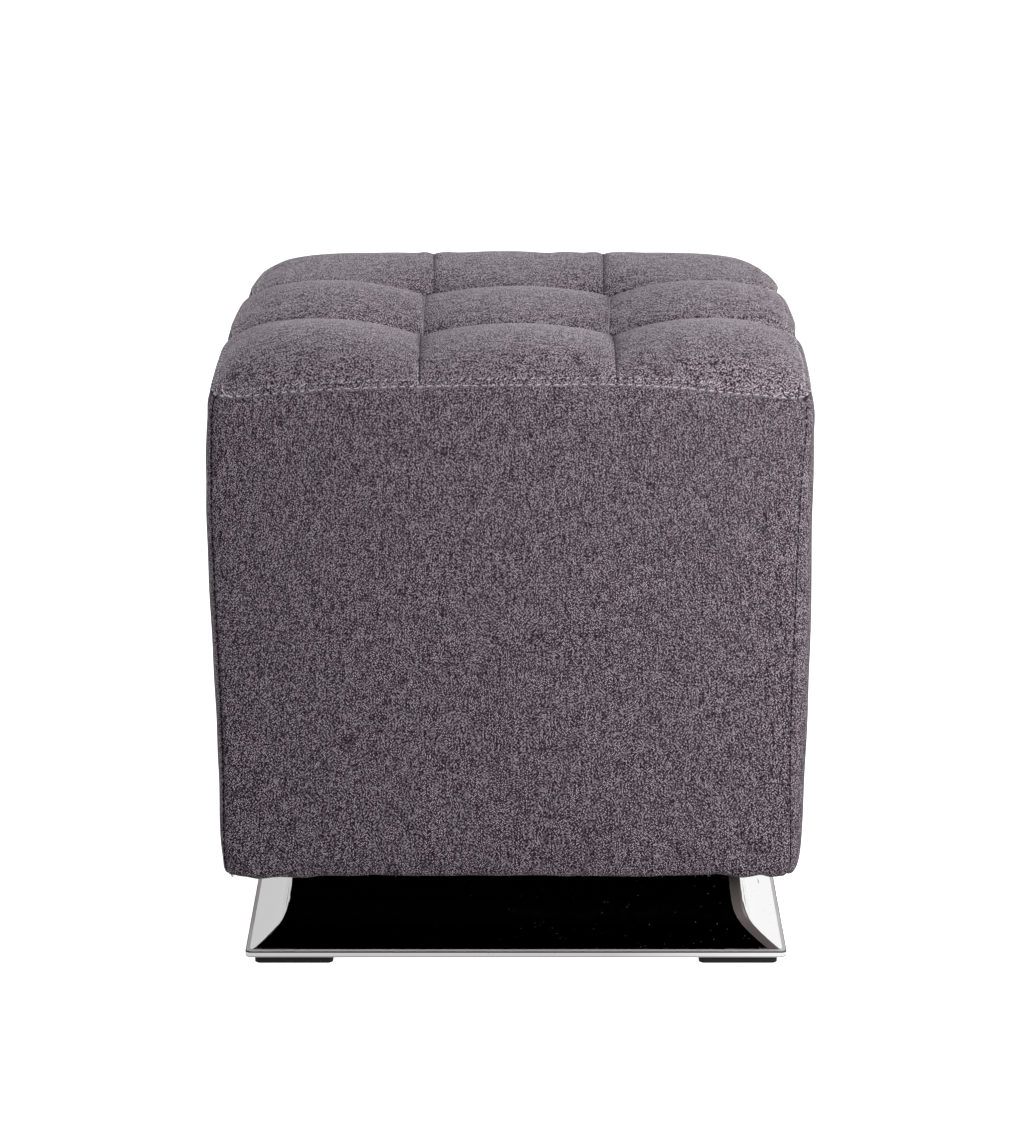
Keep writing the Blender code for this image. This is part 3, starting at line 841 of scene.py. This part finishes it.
def thread_finish(name, dark, light):
    """Twisted polyester thread, a little uneven in tone. Made near black, it is the painted shade in the
    seams.
    """
    finish = Finish(name, {"Roughness": 0.7, "Specular IOR Level": 0.3})
    tone = finish.noise(finish.place(), 900.0, 2.0, 0.6)
    finish.set("Base Color", finish.mix(tone, dark, light))
    return finish.material


def upright_line(first, second):
    """The line of an upright seam, half way between the ends of the two sides that it joins."""
    heights = np.arange(*UPRIGHT_RUN, LINE_STEP)
    corner = np.array(OUTWARD[first]) + np.array(OUTWARD[second])
    ends = []
    for side in (first, second):
        rim = rim_of(panels[side], *UPRIGHT_RIM)
        rim = rim[(rim[:, :2] @ corner) > CORNER_FROM]
        rim = rim[np.argsort(rim[:, 2])]
        ends.append(np.stack([np.interp(heights, rim[:, 2], rim[:, axis]) for axis in range(2)], axis=1))
    return np.column_stack(((ends[0] + ends[1]) / 2.0, heights))


seat_surface = cloth_surface(seat)


def on_seat(x, y):
    """The place on top of the seat at a point of the plan."""
    return tuple(seat_surface.ray_cast(Vector((x, y, ABOVE_SEAT)), Vector((0.0, 0.0, -1.0)))[0])


rim = rim_of(seat, 0.0, 1.0)
rim = rim[np.argsort(np.arctan2(rim[:, 1], rim[:, 0]))]
border_line, _ = evenly(rim, LINE_STEP, closed=True)
rise = np.interp(border_line[:, 0], *zip(*UPPER_ROW))
lower_row = climb(seat_surface, border_line, LOWER_ROW)
upper_row = climb(seat_surface, border_line, LOWER_ROW + rise)
hole_shade_row = climb(seat_surface, border_line, LOWER_ROW + rise - HOLE_SHADE_BELOW)

# light thread, which along the middle row's quilting is also a painted highlight
light_thread_and_lip_highlight = thread_finish("light_thread_and_lip_highlight", (0.62, 0.58, 0.60, 1.0), (1.0, 0.97, 0.98, 1.0))
cloth_thread = thread_finish("cloth_thread", (0.20, 0.17, 0.19, 1.0), (0.62, 0.55, 0.60, 1.0))
# painted shade: near black, for the shade in seam gaps and needle holes
painted_seam_shade = thread_finish("painted_seam_shade", (0.004, 0.003, 0.004, 1.0), (0.012, 0.009, 0.010, 1.0))

sew("topstitching", seat_surface, [
    row(lower_row, BORDER_STITCH, 0.0036, radius=THREAD, lean=4.0, depth=-0.00022, closed=True),
    row(upper_row, BORDER_STITCH, 0.0027, radius=THREAD * 0.92, lean=38.0, depth=-0.00020, closed=True),
], light_thread_and_lip_highlight)
# painted shade in the needle holes beside the topstitching
sew("topstitch_hole_shade", seat_surface, [
    row(hole_shade_row, BORDER_STITCH, 0.0017, radius=0.00040, lean=30.0, depth=JOIN, closed=True),
], painted_seam_shade)

border_sides = []
for outward in (1.0, -1.0):
    at_side = (border_line[:, 0] * outward > BORDER_SIDE) & (border_line[:, 1] > BORDER_CORNER)
    border_sides.append(border_line[at_side][np.argsort(border_line[at_side][:, 1])])
# painted shade: near-black pieces in the border seam at the sides
sew("border_join_shade", seat_surface, [
    row(line, JOIN_PITCH, JOIN_LENGTH, radius=0.00046, depth=JOIN) for line in border_sides
], painted_seam_shade)
sew("corner_thread", seat_surface, [
    row(CORNER_THREAD, 0.0016, 0.0022, radius=THREAD, depth=-0.0002),
], light_thread_and_lip_highlight)

uprights = [upright_line(first, second) for first, second in CORNERS]
# painted shade: the upright seams' dark dashes, near-black pieces in the gap
sew("upright_join_shade", None, [
    row(line, UPRIGHT_PITCH, 0.0037, radius=0.00058, depth=-0.00034) for line in uprights
], painted_seam_shade)

quilting, middle_lip_highlight = [], []
for seam in range(2):
    for run, (start, end) in enumerate(QUILTING_RUNS):
        line = [on_seat(float(seam_x(seam, y)), y) for y in np.arange(start, end, LINE_STEP)]
        quilting.append(line)
        if run == 1:
            middle_lip_highlight.append([(x - LIP_HIGHLIGHT_ASIDE, y, z) for x, y, z in line])
for y in CHANNEL_Y:
    quilting.append([on_seat(float(x), y) for x in np.arange(*CROSS_RUN, LINE_STEP)])
# painted shade: the quilting's dark joins, near-black pieces in the seams
sew("quilting_join_shade", seat_surface, [
    row(line, JOIN_PITCH, JOIN_LENGTH, radius=0.00050, depth=-0.00025) for line in quilting
], painted_seam_shade)
sew("quilting_bridges", seat_surface, [
    row(line, CHANNEL_STITCH, 0.0014, radius=0.00036, lean=90.0, depth=-0.00050) for line in quilting
], cloth_thread)
# a light thread along the middle row's seams, laid as a painted highlight on each seam's left lip
sew("quilting_lip_highlight", seat_surface, [
    row(line, 0.0022, 0.0028, radius=0.00040, depth=-0.00045) for line in middle_lip_highlight
], light_thread_and_lip_highlight)

hem_random = np.random.default_rng(23)
hem_points = rim_of(panels["front"], 0.0, HEM_HEIGHT + HEM_EDGE)
hem_points = hem_points[hem_points[:, 1] < FRONT_FACE]
fibres = []
for place in hem_points[hem_random.integers(0, len(hem_points), FIBRES)]:
    drift = np.array((hem_random.uniform(-0.9, 0.9), hem_random.uniform(-0.3, 0.1), -1.0))
    end = place + drift * hem_random.uniform(*FIBRE_LENGTH)
    length = float(np.linalg.norm(end - place))
    fibres.append(row(np.stack((place, end)), ONE_STITCH, length, radius=FIBRE))
loose_end = np.stack((LOOSE_END, np.add(LOOSE_END, LOOSE_END_HANG)))
fibres.append(row(loose_end, ONE_STITCH, 0.0044, radius=0.00028))
sew("hem_fibres", None, fibres, cloth_thread)

# ---------------------------------------------------------------- plinth
# A square tray of pressed and chromed sheet steel, upside down under the cube: its walls flare to a
# rim at the floor, which has a flange turned in under it. It is fixed to the board by its plate.

PLINTH_X = 0.0042            # the plinth sits a little to the right of the cube
SHEET = 0.0015
RIM_FOOT = 0.0058
FLANGE = 0.0640
RIM_ROUNDING = 0.0009
PLINTH_CORNER = 0.0035
FLARE = (
    # half width, height, down the outer face from the board to the rim
    (0.1667, 0.0717), (0.1685, 0.0530), (0.1699, 0.0425), (0.1714, 0.0345), (0.1735, 0.0290),
    (0.1765, 0.0246), (0.1810, 0.0205), (0.1865, 0.0168), (0.1925, 0.0133), (0.1965, 0.0113),
)
RIM = ((0.1994, 0.0108), (0.2001, 0.0105), (0.2005, 0.0098))       # and over the rim's edge
FLARE_STEPS = 44
SHARP = 32.0                 # degrees: the plinth's folds are sharper than this
RIM_HIGHLIGHT = (0.01062, 0.01116)   # painted highlight: heights of the bright band painted on top of the rim
EDGE = (0.0098, 0.01062)     # painted reflection: heights of the dark line painted below it
PAINTED_FOOT_SHADE = 0.0072                # and below this the rim is painted darker: painted shade, for the shaded gap above the floor that it mirrors
MITRE_REFLECTION = (0.0008, 0.0098)      # painted reflection: a dull grey-brown band beside the right front mitre, measured across it
MITRE_REFLECTION_FROM = 0.1
POLISH_MARKS = 220.0         # to a metre
DUST_GRID = 330.0            # places to a metre where a speck may lie
DUST_SHARE = 0.56            # nearer 1, fewer of them hold one
DUST_SIZE = 0.12


def flare_line(steps):
    """The flare as one smooth curve through its measured places."""
    line = np.array(FLARE)
    run = np.r_[0.0, np.cumsum(np.linalg.norm(np.diff(line, axis=0), axis=1))]
    slope = np.gradient(line, run, axis=0)
    places = np.linspace(0.0, run[-1], steps)
    rows = []
    for place in places:
        index = min(int(np.searchsorted(run, place, side="right")) - 1, len(run) - 2)
        length = run[index + 1] - run[index]
        share = (place - run[index]) / length
        ease = share * share * (3.0 - 2.0 * share)
        start = line[index] + slope[index] * share * length
        end = line[index + 1] - slope[index + 1] * (1.0 - share) * length
        rows.append(start + (end - start) * ease)
    return [tuple(place) for place in rows]


flare = flare_line(FLARE_STEPS)
rim_half = RIM[-1][0]
section = flare + list(RIM)
section += [(rim_half, RIM_FOOT + RIM_ROUNDING)]
section += [(rim_half - 0.3 * RIM_ROUNDING, RIM_FOOT + 0.3 * RIM_ROUNDING)]
section += [(rim_half - RIM_ROUNDING, RIM_FOOT), (rim_half - FLANGE, RIM_FOOT)]
section += [(rim_half - FLANGE, RIM_FOOT + SHEET), (rim_half - SHEET, RIM_FOOT + SHEET)]
section += [(rim_half - SHEET, RIM[0][1] - SHEET)]
section += [(half - SHEET, height - 0.3 * SHEET) for half, height in flare[-2::-6]]
section += [(flare[0][0] - SHEET, flare[0][1] - SHEET)]

bpy.ops.object.select_all(action="DESELECT")
half, height = section[0]
bpy.ops.mesh.primitive_plane_add(size=2.0 * half, location=(PLINTH_X, 0.0, height))
plinth = bpy.context.object
plinth.name = "chromed_plinth"
bpy.ops.object.mode_set(mode="EDIT")
bpy.ops.mesh.select_all(action="SELECT")
bpy.ops.mesh.bevel(affect="VERTICES", offset=PLINTH_CORNER, segments=8)
for next_half, next_height in section[1:]:
    bpy.ops.mesh.extrude_region_move(TRANSFORM_OT_translate={"value": (0.0, 0.0, next_height - height)})
    wider = next_half / half
    bpy.ops.transform.resize(value=(wider, wider, 1.0), center_override=(PLINTH_X, 0.0, next_height))
    half, height = next_half, next_height
bpy.ops.mesh.select_all(action="SELECT")
bpy.ops.mesh.normals_make_consistent(inside=False)
bpy.ops.object.mode_set(mode="OBJECT")
bpy.ops.object.transform_apply(location=True, rotation=True, scale=True)
bpy.ops.object.shade_smooth_by_angle(angle=math.radians(SHARP))
modifier = plinth.modifiers.new("flat_walls", "WEIGHTED_NORMAL")
modifier.keep_sharp = True
modifier.weight = 90
bpy.ops.object.modifier_apply(modifier=modifier.name)


def between(wire, bounds):
    """1 where a value lies between two bounds, and otherwise 0."""
    low, high = bounds
    return wire.math("LESS_THAN", high) * wire.math("GREATER_THAN", low)


def chrome_finish():
    """Bright chrome with faint polishing marks and a few specks of dust. A dull band beside the right front
    mitre is a painted reflection, and bands on the rim are painted highlight, reflection and shade.
    """
    finish = Finish("bright_chrome", {})
    place = finish.place()
    across, depth, height = (finish.part(place, axis) for axis in range(3))
    marks = finish.noise(place, POLISH_MARKS, 3.0, 0.6)
    cells = finish.node("ShaderNodeTexVoronoi", {"feature": "F1"}, {"Vector": place, "Scale": DUST_GRID})
    chosen = finish.noise(place, 200.0, 1.0).math("GREATER_THAN", DUST_SHARE)
    more_right = (across * 2.5 + 0.25).math("MAXIMUM", 0.0).math("MINIMUM", 0.6)
    dust = cells.math("LESS_THAN", DUST_SIZE) * chosen * more_right
    from_mitre = (depth + (across - PLINTH_X)) * -1.0
    # painted reflection: the dull grey-brown band beside the right front mitre
    mitre_reflection = between(from_mitre, MITRE_REFLECTION) * across.math("GREATER_THAN", MITRE_REFLECTION_FROM)
    mitre_reflection = mitre_reflection * height.math("GREATER_THAN", RIM_HIGHLIGHT[1])
    rim_highlight, rim_dark_line = between(height, RIM_HIGHLIGHT), between(height, EDGE)
    # real dust, together with the painted highlight and reflection bands
    dust_and_painted_bands = (dust * 0.6 + mitre_reflection + rim_highlight + rim_dark_line).math("MINIMUM", 1.0)
    colour = finish.mix(marks, (0.900, 0.900, 0.905, 1.0), (0.925, 0.925, 0.930, 1.0))
    # painted shade: the rim's foot is painted a darker metal
    colour = finish.mix(height.math("LESS_THAN", PAINTED_FOOT_SHADE), colour, (0.52, 0.51, 0.52, 1.0))
    # painted highlight: a light matt band on top of the rim
    matt = finish.mix(rim_highlight, (0.135, 0.108, 0.110, 1.0), (0.62, 0.59, 0.60, 1.0))
    # painted reflection: a near-black matt line below the painted highlight
    matt = finish.mix(rim_dark_line, matt, (0.036, 0.028, 0.028, 1.0))
    finish.set("Base Color", finish.mix(dust_and_painted_bands, colour, matt))
    finish.set("Metallic", 1.0 - dust_and_painted_bands * 0.9)
    finish.set("Roughness", marks * 0.03 + 0.02 + dust_and_painted_bands * 0.4)
    return finish.material


plinth.data.materials.append(chrome_finish())
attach(plinth, "root")
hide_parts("plinth")

# ---------------------------------------------------------------- feet and board
# Four flat pads of black rubber are glued under the plinth's flange. A black board closes the
# underside of the cube, inside the turned hem. Both keep the shapes of the CAD model.


def grain_finish(name, dark, light, scale, roughness, relief):
    """A matt surface with a fine, even grain."""
    finish = Finish(name, {"Specular IOR Level": 0.3})
    grain = finish.noise(finish.place(), scale, 4.0, 0.65)
    finish.set("Base Color", finish.mix(grain, dark, light))
    finish.set("Roughness", grain * 0.2 + roughness)
    finish.bump(grain, relief, 0.6)
    return finish.material


def dress(node, material):
    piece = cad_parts[node]
    piece.data.materials.clear()
    piece.data.materials.append(material)


rubber = grain_finish("black_rubber", (0.004, 0.004, 0.004, 1.0), (0.022, 0.020, 0.019, 1.0),
                      scale=900.0, roughness=0.55, relief=0.0002)
board = grain_finish("black_board", (0.008, 0.008, 0.008, 1.0), (0.030, 0.029, 0.028, 1.0),
                     scale=240.0, roughness=0.70, relief=0.0003)
for corner in ("front_left", "front_right", "back_left", "back_right"):
    dress("foot_" + corner, rubber)
dress("bottom_board", board)
